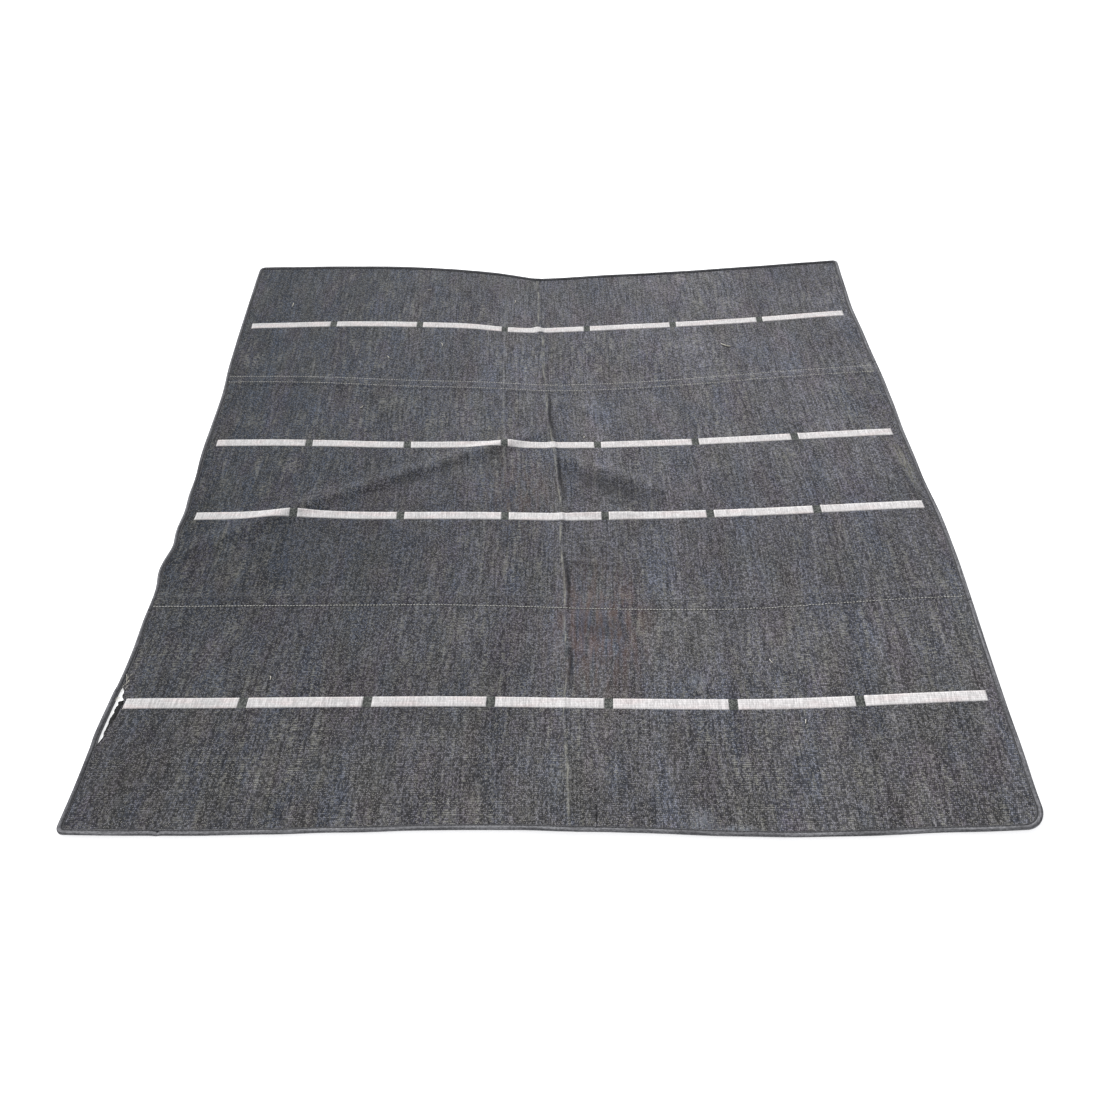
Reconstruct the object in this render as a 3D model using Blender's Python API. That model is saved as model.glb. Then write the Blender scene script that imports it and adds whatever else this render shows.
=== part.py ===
"""A flat-woven camp blanket: three lengths of cloth, two lapped seams, a bound edge and rows of pale dashes.

It lies spread out. +X runs along the rows of dashes, +Y from the front edge to the back edge, +Z is up, and
the origin is under the middle of the blanket. The front and back cloths fold over the middle one, each
about an axis beside its seam. All sizes are in metres.
"""

import math

import bmesh
import bpy
from mathutils import Vector

# Overall sizes
WIDTH = 2.000  # over the binding, along the rows of dashes
FRONT_DEPTH = 0.566  # front edge to the middle of the front seam
MIDDLE_DEPTH = 0.826  # middle of the front seam to the middle of the back seam
BACK_DEPTH = 0.588  # middle of the back seam to the back edge

# Cloth and seams
CLOTH = 0.003  # thickness of one layer
LAP = 0.032  # how far two cloths overlap in a seam
STITCH_INSET = 0.002  # stitching to the edge of the lap
SEAM_TO_FOLD = 0.045  # flat cloth between a seam and the fold beside it
THREAD = 0.001  # width and height of a row of stitching

# Binding: a rolled tape against the cloth's edge
BINDING_WIDTH = 0.010
BINDING_HEIGHT = 0.008
LEDGE = 0.0022  # ledge along the inside of the roll, where its stitching lies
CORNER_RADIUS = 0.018  # outside the binding
FRONT_RIGHT_RADIUS = 0.048  # this corner is rounder than the others

# Rows of pale dashes, woven through the whole cloth
DASHES = 7
DASH_WIDTH = 0.026
DASH_GAP = 0.020  # between two dashes of a row
SIDE_MARGIN = 0.034  # outer edge of the blanket to the first dash
SEAM_TO_DASH = 0.276  # middle of a seam to the middle of the nearest row of dashes

# Where the binding has come away from the left edge and the cloth has frayed back
FRAY_LENGTH = 0.130
FRAY_DEPTH = 0.005
FRAY_FROM_FRONT = 0.200  # front edge to the near end of the frayed stretch

# Clearances
GAP = 0.0003  # between pieces that touch
LOFT = 0.003  # spare height under each folded layer

# What follows from the sizes above
FRONT_EDGE = -(FRONT_DEPTH + MIDDLE_DEPTH + BACK_DEPTH) / 2
BACK_EDGE = -FRONT_EDGE
FRONT_SEAM = FRONT_EDGE + FRONT_DEPTH
BACK_SEAM = BACK_EDGE - BACK_DEPTH
FRONT_FOLD = FRONT_SEAM - LAP / 2 - SEAM_TO_FOLD
BACK_FOLD = BACK_SEAM + LAP / 2 + SEAM_TO_FOLD
CLOTH_SIDE = WIDTH / 2 - BINDING_WIDTH
CLOTH_FRONT = FRONT_EDGE + BINDING_WIDTH
CLOTH_BACK = BACK_EDGE - BINDING_WIDTH
LAP_UNDERSIDE = CLOTH + GAP
LAP_TOP = LAP_UNDERSIDE + CLOTH
LEDGE_HEIGHT = BINDING_HEIGHT - THREAD - 2 * GAP
STACK = max(BINDING_HEIGHT, LAP_TOP + GAP + THREAD)  # the tallest place
FRONT_AXIS_HEIGHT = STACK + LOFT
BACK_AXIS_HEIGHT = FRONT_AXIS_HEIGHT + STACK / 2 + LOFT

CORNER_STEPS = 10
ROLL_STEPS = 10
THREAD_STEPS = 6
CUT = 0.002  # how far a cutter reaches past the faces it cuts
SHARP = math.radians(35)  # edges that turn more than this look sharp


def finish(name, colour, roughness):
    """A material with a plain surface."""
    made = bpy.data.materials.new(name)
    made.use_nodes = True
    shader = made.node_tree.nodes["Principled BSDF"]
    shader.inputs["Base Color"].default_value = (*colour, 1)
    shader.inputs["Roughness"].default_value = roughness
    shader.inputs["Metallic"].default_value = 0
    made.diffuse_color = (*colour, 1)
    return made


def carrier(name, location):
    """An empty on a fold's axis, or under the middle, that carries the pieces of one body."""
    empty = bpy.data.objects.new(name, None)
    empty.location = location
    bpy.context.collection.objects.link(empty)
    return empty


def piece(name, bm, material, body):
    """Makes a named object from a mesh in place, closed and facing out, and hangs it on its body."""
    bmesh.ops.recalc_face_normals(bm, faces=bm.faces)
    mesh = bpy.data.meshes.new(name)
    bm.to_mesh(mesh)
    bm.free()
    mesh.shade_smooth()
    mesh.set_sharp_from_angle(angle=SHARP)
    mesh.materials.append(material)
    made = bpy.data.objects.new(name, mesh)
    bpy.context.collection.objects.link(made)
    made.parent = body
    made.location = -body.location
    return made


def add_box(bm, low, high):
    """Adds a box between two corners."""
    corners = bmesh.ops.create_cube(bm, size=1)["verts"]
    size = Vector(high) - Vector(low)
    bmesh.ops.scale(bm, vec=size, verts=corners)
    bmesh.ops.translate(bm, vec=Vector(low) + size / 2, verts=corners)


def prism(points, along):
    """A mesh made of one flat outline extruded along a vector."""
    bm = bmesh.new()
    outline = bm.faces.new([bm.verts.new(p) for p in points])
    moved = bmesh.ops.extrude_face_region(bm, geom=[outline])["geom"]
    tops = [v for v in moved if isinstance(v, bmesh.types.BMVert)]
    bmesh.ops.translate(bm, vec=Vector(along), verts=tops)
    return bm


def swept(profile, path):
    """A closed mesh: a profile of (outward, up) pairs carried along (point, outward direction) pairs."""
    bm = bmesh.new()
    rings = []
    for point, outward in path:
        ring = [bm.verts.new(point + outward * out + Vector((0, 0, up))) for out, up in profile]
        rings.append(ring)
    count = len(profile)
    for ring, following in zip(rings, rings[1:]):
        for i in range(count):
            j = (i + 1) % count
            bm.faces.new((ring[i], ring[j], following[j], following[i]))
    bm.faces.new(rings[0])
    bm.faces.new(rings[-1])
    return bm


def corner_path(x_sign, y_sign, radius, start):
    """The cloth's edge round one corner, a quarter turn anticlockwise from the start angle."""
    y_edge = CLOTH_FRONT if y_sign < 0 else CLOTH_BACK
    inner = radius - BINDING_WIDTH
    centre = Vector((x_sign * (CLOTH_SIDE - inner), y_edge - y_sign * inner, 0))
    path = []
    for step in range(CORNER_STEPS + 1):
        angle = start + math.pi / 2 * step / CORNER_STEPS
        outward = Vector((math.cos(angle), math.sin(angle), 0))
        path.append((centre + outward * inner, outward))
    return path


def side_point(x_sign, y):
    """A point on the left or right edge of the cloth, with its outward direction."""
    return Vector((x_sign * CLOTH_SIDE, y, 0)), Vector((x_sign, 0, 0))


def front_path():
    """The cloth's edge from the front fold at the left, round the front, to the fold at the right."""
    y = FRONT_FOLD - GAP / 2
    left = corner_path(-1, -1, CORNER_RADIUS, math.pi)
    right = corner_path(1, -1, FRONT_RIGHT_RADIUS, math.pi * 1.5)
    return [side_point(-1, y), *left, *right, side_point(1, y)]


def back_path():
    """The cloth's edge from the back fold at the right, round the back, to the fold at the left."""
    y = BACK_FOLD + GAP / 2
    right = corner_path(1, 1, CORNER_RADIUS, 0)
    left = corner_path(-1, 1, CORNER_RADIUS, math.pi / 2)
    return [side_point(1, y), *right, *left, side_point(-1, y)]


def side_path(x_sign):
    """The cloth's edge between the two folds on one side."""
    return [side_point(x_sign, FRONT_FOLD + GAP / 2), side_point(x_sign, BACK_FOLD - GAP / 2)]


def binding_profile():
    """The rolled tape's section: round outside, flat against the cloth, with a ledge for its stitching."""
    radius = BINDING_HEIGHT / 2
    centre = BINDING_WIDTH - radius
    outline = []
    for step in range(ROLL_STEPS + 1):
        angle = math.pi * (step / ROLL_STEPS - 0.5)
        outline.append((centre + radius * math.cos(angle), radius + radius * math.sin(angle)))
    return [*outline, (LEDGE, BINDING_HEIGHT), (LEDGE, LEDGE_HEIGHT), (GAP, LEDGE_HEIGHT), (GAP, 0)]


def thread_profile(out, height):
    """A row of stitching's section: a half-round bead that lies on a surface at that height."""
    radius = THREAD / 2
    outline = [(out - radius, height + GAP)]
    for step in range(THREAD_STEPS + 1):
        angle = math.pi * (1 - step / THREAD_STEPS)
        outline.append((out + radius * math.cos(angle), height + GAP + radius * (1 + math.sin(angle))))
    return [*outline, (out + radius, height + GAP)]


def dash_length():
    """What is left of the width for one dash."""
    return (WIDTH - 2 * SIDE_MARGIN - (DASHES - 1) * DASH_GAP) / DASHES


def dash_box(column, y, clearance):
    """The lowest and highest corners of one dash, or of its window with a clearance all round."""
    length = dash_length()
    left = -WIDTH / 2 + SIDE_MARGIN + column * (length + DASH_GAP)
    low = Vector((left - clearance, y - DASH_WIDTH / 2 - clearance, 0))
    high = Vector((left + length + clearance, y + DASH_WIDTH / 2 + clearance, CLOTH))
    return low, high


def cut_through(cloth, boxes):
    """Cuts boxes through a cloth's whole thickness."""
    bm = bmesh.new()
    for low, high in boxes:
        add_box(bm, low - Vector((0, 0, CUT)), high + Vector((0, 0, CUT)))
    mesh = bpy.data.meshes.new(cloth.name + "_windows")
    bm.to_mesh(mesh)
    bm.free()
    cutter = bpy.data.objects.new(mesh.name, mesh)
    bpy.context.collection.objects.link(cutter)
    cutter.hide_render = True
    cutter.display_type = "WIRE"
    windows = cloth.modifiers.new("Windows", "BOOLEAN")
    windows.operation = "DIFFERENCE"
    windows.object = cutter


def windows_of(rows):
    """The boxes of every dash in these rows, with a gap round each."""
    return [dash_box(column, y, GAP) for y in rows for column in range(DASHES)]


def dashes_of(name, y, material, body):
    """One row of pale dashes, each its own block filling its window."""
    for column in range(DASHES):
        bm = bmesh.new()
        add_box(bm, *dash_box(column, y, 0))
        piece(f"{name}_dash_{column + 1}", bm, material, body)


def outer_cloth(name, path, rows, extra_cuts, material, body):
    """The front or back cloth out to its fold: an outline with rounded corners, and its windows."""
    cloth = piece(name, prism([point for point, outward in path], (0, 0, CLOTH)), material, body)
    cut_through(cloth, windows_of(rows) + extra_cuts)


def frayed_edge():
    """The bite out of the front cloth's left edge where the binding has come away."""
    y = FRONT_EDGE + FRAY_FROM_FRONT
    low = Vector((-CLOTH_SIDE - CUT, y, 0))
    high = Vector((-CLOTH_SIDE + FRAY_DEPTH, y + FRAY_LENGTH, CLOTH))
    return low, high


def middle_cloth(rows, material, body):
    """The middle cloth, whose two edges step up over the seam strips."""
    front_step = FRONT_SEAM + LAP / 2 + GAP
    back_step = BACK_SEAM - LAP / 2 - GAP
    section = [
        (front_step, 0),
        (back_step, 0),
        (back_step, LAP_UNDERSIDE),
        (BACK_SEAM + LAP / 2, LAP_UNDERSIDE),
        (BACK_SEAM + LAP / 2, LAP_TOP),
        (back_step - CLOTH, LAP_TOP),
        (back_step - CLOTH, CLOTH),
        (front_step + CLOTH, CLOTH),
        (front_step + CLOTH, LAP_TOP),
        (FRONT_SEAM - LAP / 2, LAP_TOP),
        (FRONT_SEAM - LAP / 2, LAP_UNDERSIDE),
        (front_step, LAP_UNDERSIDE),
    ]
    bm = prism([(-CLOTH_SIDE, y, z) for y, z in section], (2 * CLOTH_SIDE, 0, 0))
    cut_through(piece("middle_cloth", bm, material, body), windows_of(rows))


def seam_strip(name, fold, lap_end, material, body):
    """The part of an outer cloth that stays flat beside the seam and runs under the middle cloth's lap."""
    bm = bmesh.new()
    add_box(bm, (-CLOTH_SIDE, min(fold, lap_end), 0), (CLOTH_SIDE, max(fold, lap_end), CLOTH))
    piece(name, bm, material, body)


def seam_stitching(name, seam, material, body):
    """The two rows of stitching that hold a seam, near its edges, on top of the lap."""
    reach = LAP / 2 - STITCH_INSET
    for row, y in (("near", seam - reach), ("far", seam + reach)):
        across = Vector((0, 1, 0))
        path = [(Vector((x, y, 0)), across) for x in (-CLOTH_SIDE, CLOTH_SIDE)]
        piece(f"{name}_stitching_{row}", swept(thread_profile(0, LAP_TOP), path), material, body)


def bind(name, path, tape, thread, body):
    """One length of binding and the stitching along its ledge."""
    piece(f"{name}_binding", swept(binding_profile(), path), tape, body)
    bead = thread_profile((GAP + LEDGE) / 2, LEDGE_HEIGHT)
    piece(f"{name}_binding_stitching", swept(bead, path), thread, body)


def build():
    for old in list(bpy.data.objects):
        bpy.data.objects.remove(old)

    ground = finish("charcoal_wool_weave", (0.085, 0.087, 0.098), 0.95)
    pale = finish("pale_wool_weave", (0.66, 0.60, 0.58), 0.92)
    tape = finish("dark_binding_tape", (0.045, 0.046, 0.044), 0.85)
    seam_thread = finish("pale_seam_thread", (0.30, 0.30, 0.31), 0.8)
    edge_thread = finish("dark_edge_thread", (0.02, 0.02, 0.02), 0.8)

    middle = carrier("middle", (0, 0, 0))
    front = carrier("front", (0, FRONT_FOLD, FRONT_AXIS_HEIGHT))
    back = carrier("back", (0, BACK_FOLD, BACK_AXIS_HEIGHT))

    front_row = FRONT_SEAM - SEAM_TO_DASH
    middle_rows = (FRONT_SEAM + SEAM_TO_DASH, BACK_SEAM - SEAM_TO_DASH)
    back_row = BACK_SEAM + SEAM_TO_DASH

    outer_cloth("front_cloth", front_path(), [front_row], [frayed_edge()], ground, front)
    outer_cloth("back_cloth", back_path(), [back_row], [], ground, back)
    middle_cloth(middle_rows, ground, middle)
    seam_strip("front_seam_strip", FRONT_FOLD + GAP / 2, FRONT_SEAM + LAP / 2, ground, middle)
    seam_strip("back_seam_strip", BACK_FOLD - GAP / 2, BACK_SEAM - LAP / 2, ground, middle)

    dashes_of("front", front_row, pale, front)
    dashes_of("middle_near", middle_rows[0], pale, middle)
    dashes_of("middle_far", middle_rows[1], pale, middle)
    dashes_of("back", back_row, pale, back)

    seam_stitching("front_seam", FRONT_SEAM, seam_thread, middle)
    seam_stitching("back_seam", BACK_SEAM, seam_thread, middle)

    bind("front", front_path(), tape, edge_thread, front)
    bind("back", back_path(), tape, edge_thread, back)
    bind("left", side_path(-1), tape, edge_thread, middle)
    bind("right", side_path(1), tape, edge_thread, middle)


build()
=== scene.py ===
# %% [markdown]
# A flat-woven wool blanket, laid out on a plain floor. It is three lengths of charcoal cloth, joined by
# two lapped seams, with four rows of pale dashes woven in and a rolled tape all round the edge. It has been
# folded and used, so it lies with a crease down its middle, a few ridges, stains, lint and one torn stretch
# of edge. The solids of the mechanical model give the sizes and the places. This script makes what the eye
# sees of them.

# %% Load the mechanical model
import math
import random

import bmesh
import bpy
from mathutils import Matrix, Vector, noise


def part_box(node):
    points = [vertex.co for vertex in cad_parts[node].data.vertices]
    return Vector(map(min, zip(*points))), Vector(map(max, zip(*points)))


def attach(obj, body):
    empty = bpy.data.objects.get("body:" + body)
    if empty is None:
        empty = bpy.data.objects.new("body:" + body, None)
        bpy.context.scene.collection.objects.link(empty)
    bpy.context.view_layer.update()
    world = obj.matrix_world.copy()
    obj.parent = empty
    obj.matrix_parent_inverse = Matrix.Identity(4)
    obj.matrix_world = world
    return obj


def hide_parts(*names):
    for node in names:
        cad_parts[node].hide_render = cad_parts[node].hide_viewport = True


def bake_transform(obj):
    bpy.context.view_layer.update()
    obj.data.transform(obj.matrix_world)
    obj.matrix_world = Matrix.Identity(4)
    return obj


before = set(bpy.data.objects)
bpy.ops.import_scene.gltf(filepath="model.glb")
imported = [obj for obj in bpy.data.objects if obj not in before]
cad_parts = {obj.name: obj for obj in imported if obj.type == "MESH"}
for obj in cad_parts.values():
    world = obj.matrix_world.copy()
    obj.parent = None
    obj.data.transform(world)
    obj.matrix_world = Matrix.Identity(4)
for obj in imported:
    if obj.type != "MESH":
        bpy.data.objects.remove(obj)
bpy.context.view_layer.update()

MM = 0.001

# %% [markdown]
# The places that everything else refers to are read from the solids: where the cloth ends, where each seam's
# lap starts and stops, and where the two folds are. U and v below are places on the flat cloth, in metres: u
# runs along the rows of dashes, v from the front edge to the back edge.

# %% Read the flat sizes
front_low, front_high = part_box("front_cloth")
middle_low, middle_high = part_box("middle_cloth")
back_low, back_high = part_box("back_cloth")
LEFT, RIGHT = middle_low.x, middle_high.x
FRONT, BACK = front_low.y, back_high.y
CLOTH = front_high.z - front_low.z
FRONT_LAP = (middle_low.y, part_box("front_seam_strip")[1].y)
BACK_LAP = (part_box("back_seam_strip")[0].y, middle_high.y)
ROWS = {"front": "front", "middle_near": "middle", "middle_far": "middle", "back": "back"}
DASHES = 7
row_boxes = {row: [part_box(f"{row}_dash_{k + 1}") for k in range(DASHES)] for row in ROWS}
print("cloth", RIGHT - LEFT, "by", BACK - FRONT, "dash", row_boxes["front"][0])

# %% [markdown]
# The eye is as high as a standing person's, a stride outside the front edge, and looks down at the blanket.
# A camera looks along its own -Z, so it is tipped up from straight down, then turned a little.

# %% Camera
EYE = Vector((0.019, -1.616, 1.698))
eye_data = bpy.data.cameras.new("eye")
eye_data.lens = 27.82
eye_data.sensor_width = 36
eye = bpy.data.objects.new("eye", eye_data)
bpy.context.collection.objects.link(eye)
turn = Matrix.Rotation(math.radians(0.61), 4, "Z")
tip = Matrix.Rotation(math.radians(38.36), 4, "X")
level = Matrix.Rotation(math.radians(-1.11), 4, "Z")
eye.matrix_world = Matrix.Translation(EYE) @ turn @ tip @ level
bpy.context.scene.camera = eye
print("camera at", tuple(EYE))

# %% [markdown]
# Cloth that is spread by hand never lies quite square. Each tug below says where on the cloth it was pulled,
# how far the pull reaches along u and v, and by how many millimetres it moved the cloth in x and y. Gaussian
# bumps fade smoothly, so a few of them bend the rows as real cloth does. A cloth simulation would need the
# history of every pull to arrive at the same lie, so the lie is sculpted with these moves instead.

# %% How the cloth was tugged out of square
TUGS = [
    # u, v, reach along u, reach along v, pull in x, pull in y
    (0.00, -0.20, 9.00, 0.45, 24, 0),  # the whole width bows to the right about its middle
    (1.05, 0.00, 0.25, 9.00, 20, 0),  # the right edge was pulled out
    (1.05, 0.05, 0.40, 0.60, 0, 19),
    (1.00, 0.68, 0.25, 0.25, -4, 15),
    (1.00, 0.75, 0.15, 0.15, -7, 0),
    (0.50, -1.00, 0.35, 0.50, 0, -19),  # the front edge sags right of its middle
    (0.10, 0.38, 0.50, 0.16, 0, -26),  # the back seam sags between its ends
    (-0.42, 0.35, 0.25, 0.40, 3, -15),
    (0.40, -0.42, 0.35, 0.10, 0, -14),
    (-1.00, 0.68, 0.30, 0.20, 0, -16),
    (-1.00, 0.27, 0.20, 0.15, 8, 0),
    (-0.60, 0.99, 0.30, 0.25, 0, 5),
    (0.55, 1.00, 0.35, 0.12, 0, -7),
    (-0.72, -1.00, 0.38, 0.20, 0, -11),
    (1.00, -1.00, 0.40, 0.20, 0, -11),
    (-1.00, 0.45, 0.12, 0.35, 8, 0),
    (-1.00, -0.13, 0.12, 0.05, 6, 0),
    (-1.00, -0.58, 0.12, 0.12, 9, 0),
    (-1.00, -0.98, 0.15, 0.11, -10, 0),
    (-0.13, 0.68, 0.10, 0.12, 0, -9),
    (-0.70, -0.15, 0.12, 0.15, -4, 7),  # the diagonal ridge lifts this place
    (-1.00, -0.25, 0.10, 0.035, 7, 0),  # and steps the left edge where it starts
    (-1.00, -0.33, 0.10, 0.035, -6, 0),
    (1.03, -0.02, 0.05, 0.16, -13, 0),
    (1.00, 0.16, 0.15, 0.08, -4, 0),
    (-1.03, -0.02, 0.05, 0.06, 9, 0),
    (-1.03, -0.41, 0.05, 0.06, 7, 0),
]
CREASE_PULL = -0.094  # at the back edge, towards the front
CREASE_TAKES = -0.011  # cloth taken up in the crease on each side of it
CREASE_WAVE = 0.006
CREASE_WAVES = 19
SHIFT = -0.005  # the whole blanket lies this much to the left
EDGE_REACH = 0.06  # how far in the small waves of the outline reach
SIDE_WAVE = 3 * MM
END_WAVE = 2 * MM


def bump(distance, reach):
    """A smooth hill, 1 at its middle and almost nothing at twice its reach."""
    return math.exp(-((distance / reach) ** 2))


def crease_at(v):
    """Where the fold down the middle crosses v: it is a little out of true, and it wavers."""
    return 0.0125 - 0.04 * v + CREASE_WAVE * math.sin(CREASE_WAVES * v) * math.sin(7 * v)


def crease_pull(u, v):
    """The crease pulled the cloth into a V towards the front, steeper on its left."""
    aside = u - crease_at(v)
    softened = math.hypot(aside, 0.02) - 0.02
    shape = math.exp(-softened / 0.25) if aside < 0 else 1 - min(softened, 1.1) / 1.1
    return CREASE_PULL * shape * math.exp(-(1 - v) / 0.7)


def pulled(u, v):
    """Where a place on the flat cloth lies on the floor."""
    x = u + SHIFT + CREASE_TAKES * math.tanh(u / 0.15)
    y = v + crease_pull(u, v)
    for at_u, at_v, reach_u, reach_v, pull_x, pull_y in TUGS:
        share = bump(u - at_u, reach_u) * bump(v - at_v, reach_v)
        x += share * pull_x * MM
        y += share * pull_y * MM
    x += bump(abs(u) - 1, EDGE_REACH) * SIDE_WAVE * noise.noise(Vector((v * 7, u, 11)))
    y += bump(abs(v) - 0.99, EDGE_REACH) * END_WAVE * noise.noise(Vector((u * 7, v, 12)))
    return x, y


print("the middle of the back edge lies at", pulled(0, BACK))

# %% [markdown]
# The relief comes from ridges: a line on the flat cloth, with a width and a height. The long one on the
# left came from a fold across the corner, and it goes on beyond the middle crease. The short ones are
# wrinkles, and the narrow ones along v are old fold lines. A ridge fades past its ends.

# %% Ridges and wrinkles
RIDGES = [
    # from u, v, to u, v, half width, height, in metres and millimetres
    (-0.96, -0.27, -0.70, -0.13, 30, 6.5),
    (-0.70, -0.13, -0.42, 0.005, 25, 8.0),
    (-0.42, 0.005, -0.13, 0.132, 24, 8.8),
    (-0.135, 0.135, -0.07, 0.165, 22, 6.0),
    (0.05, 0.060, 0.16, 0.012, 25, 7.0),
    (0.14, 0.020, 0.28, -0.055, 24, 9.0),
    (0.28, -0.055, 0.38, -0.10, 22, 4.5),
    (0.06, -0.125, 0.20, -0.140, 17, 3.5),
    (-0.12, 0.80, -0.03, 0.690, 12, 4.5),
    (-0.03, 0.69, 0.02, 0.580, 12, 4.5),
    (0.03, 0.56, 0.12, 0.52, 16, 2.5),
    (0.05, 0.33, 0.16, 0.27, 18, 3.5),
    (0.04, -0.295, 0.14, -0.310, 10, 3.5),
    (0.03, -0.555, 0.15, -0.580, 11, 4.0),
    (0.03, -0.775, 0.08, -0.800, 10, 2.5),
    (0.50, -0.15, 0.49, -0.50, 10, 2.6),
    (0.57, -0.18, 0.56, -0.44, 11, 3.4),
    (0.63, -0.22, 0.63, -0.52, 10, 3.0),
    (0.67, -0.30, 0.67, -0.45, 9, 3.2),
    (-0.139, -0.30, -0.139, 0.94, 5, 0.6),
    (0.712, -0.68, 0.706, 0.64, 5, 1.5),
    (-0.40, 0.93, -0.30, 0.80, 30, 2.5),
    (0.55, 0.93, 0.75, 0.88, 40, 3.0),
    (0.80, -0.86, 0.93, -0.96, 30, 2.0),
]
UNEVEN = 1.1 * MM  # the soft unevenness of cloth that lies on its own
UNDERSIDE = 0.3 * MM  # above the floor
HELD = 0.45  # how much of the relief is left at the edges, which the tape holds down
TAPE_LIFT = 1.0 * MM  # the edge lies on the roll's underside
CREASE_HEIGHT = 4.0 * MM
CREASE_PEAK = 4.0 * MM  # and this much more where it is highest
CREASE_STEEP = 0.58  # the share of its height that is in its sharp fold


def smooth(x):
    """A soft step from 0 to 1."""
    x = min(max(x, 0.0), 1.0)
    return x * x * (3 - 2 * x)


def ridge_reach(u0, v0, u1, v1, width, height):
    """The box on the flat cloth that one ridge touches, put before its own numbers."""
    far = 4 * width * MM
    across = (min(u0, u1) - far, max(u0, u1) + far)
    deep = (min(v0, v1) - far, max(v0, v1) + far)
    return (*across, *deep, u0, v0, u1, v1, width, height)


REACHES = [ridge_reach(*ridge) for ridge in RIDGES]


def ridge_height(u, v, ridge):
    """How high one ridge stands at a place."""
    u0, v0, u1, v1, width, height = ridge
    length = math.hypot(u1 - u0, v1 - v0)
    along = ((u - u0) * (u1 - u0) + (v - v0) * (v1 - v0)) / length
    across = ((u - u0) * (v1 - v0) - (v - v0) * (u1 - u0)) / length
    past = max(-along, along - length, 0.0)
    return height * MM * bump(across, width * MM) * bump(past, 1.6 * width * MM)


def crease_height(u, v):
    """The middle crease: a slope up from the left, a sharp drop on the right."""
    aside = u - crease_at(v)
    sharper = 0.85 + 0.7 * noise.noise(Vector((0, v * 9, 3)))
    height = CREASE_HEIGHT + CREASE_PEAK * bump(v - 0.16, 0.30)
    wide = (1 - CREASE_STEEP) * bump(aside, 0.08)
    steep = CREASE_STEEP * sharper * bump(aside, 0.020 if aside < 0 else 0.007)
    return height * (wide + steep)


def lift(u, v):
    """How far the underside of the cloth is off the floor."""
    rolling = noise.noise(Vector((u * 3.1, v * 3.1, 0.5))) + 0.5 * noise.noise(Vector((u * 9, v * 9, 4)))
    height = UNEVEN * (0.8 + rolling) + crease_height(u, v)
    joined = 0.0
    for low_u, high_u, low_v, high_v, *ridge in REACHES:
        if low_u < u < high_u and low_v < v < high_v:
            this = ridge_height(u, v, ridge)
            joined = max(joined, this) + 0.25 * min(joined, this)
    edge = min(u - LEFT, RIGHT - u, v - FRONT, BACK - v)
    held_down = HELD + (1 - HELD) * smooth(edge / 0.07)
    on_tape = TAPE_LIFT * (1 - smooth(edge / 0.02))
    return UNDERSIDE + on_tape + max(height + joined, 0.0) * held_down


def lie(u, v, height=0.0):
    """The place in the world of a point this high above the underside of the cloth."""
    x, y = pulled(u, v)
    return Vector((x, y, lift(u, v) + height))


tallest = max(lift(LEFT + 0.02 * i, FRONT + 0.02 * j) for i in range(100) for j in range(99))
print("the cloth rises to", round(tallest / MM, 1), "mm")

# %% [markdown]
# Colours are written as a dyer's card would give them, as sRGB hex values, and Blender's shaders work on
# linear light, so one function turns the first into the second. Another adds a shader node, and a third
# feeds a node with values or with other nodes. Everything below is built from these.

# %% Helpers for materials


def colour(hex_value):
    """An sRGB hex colour as linear light."""
    parts = [int(hex_value[i : i + 2], 16) / 255 for i in (1, 3, 5)]
    return (*[c / 12.92 if c <= 0.04045 else ((c + 0.055) / 1.055) ** 2.4 for c in parts], 1)


def feed(tree, to, inputs):
    """Sets a node's inputs: to a value, to another node's output, or to a whole node's first output."""
    for socket, value in inputs.items():
        if isinstance(value, bpy.types.Node):
            value = value.outputs[0]
        if isinstance(value, bpy.types.NodeSocket):
            tree.links.new(value, to.inputs[socket])
        else:
            to.inputs[socket].default_value = value


def node(tree, kind, inputs=None, **settings):
    """Adds a shader node, and feeds the inputs that are named or numbered."""
    made = tree.nodes.new("ShaderNode" + kind)
    for name, value in settings.items():
        setattr(made, name, value)
    feed(tree, made, inputs or {})
    return made


def new_material(name):
    """An empty material, with its shader node and its output."""
    made = bpy.data.materials.new(name)
    made.use_nodes = True
    made.node_tree.nodes.clear()
    shader = node(made.node_tree, "BsdfPrincipled")
    node(made.node_tree, "OutputMaterial", {"Surface": shader.outputs["BSDF"]})
    return made, made.node_tree, shader


print("charcoal is", [round(c, 3) for c in colour("#4b4b50")])

# %% [markdown]
# Cloth is threads. In this flat weave the thick weft shows as short floats, side by side along u, in ribs
# that follow each other along v. A number for each float, the same all over it, lets the dyer's unevenness
# show: wool is blended before it is spun, so no two floats match. Floor turns a place into the number of its
# float, and a white noise texture turns that into chance. The real floats are about 3 by 2 mm. They are
# drawn up to twice as coarse, and the ladders coarser still, or they would be too fine for the eye.

# %% Threads as numbers


def threads(tree, place, float_length, rib):
    """Chance for each float, the height of its rib, and its own rounded height."""
    split = node(tree, "SeparateXYZ", {0: place})
    row = node(tree, "Math", {0: split.outputs["Y"], 1: rib}, operation="DIVIDE")
    row_number = node(tree, "Math", {0: row}, operation="FLOOR")
    offset = times(tree, row_number, 0.618)
    column = node(tree, "Math", {0: split.outputs["X"], 1: float_length}, operation="DIVIDE")
    shifted = node(tree, "Math", {0: column, 1: offset}, operation="ADD")
    column_number = node(tree, "Math", {0: shifted}, operation="FLOOR")
    cell = node(tree, "CombineXYZ", {0: column_number, 1: row_number})
    chance = node(tree, "TexWhiteNoise", {"Vector": cell}, noise_dimensions="2D")
    heights = []
    for count in (row, shifted):
        part = node(tree, "Math", {0: count}, operation="FRACT")
        rest = node(tree, "Math", {0: 1.0, 1: part}, operation="SUBTRACT")
        heights.append(times(tree, part, rest, 4.0))
    return chance, heights[0], times(tree, *heights)


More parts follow.
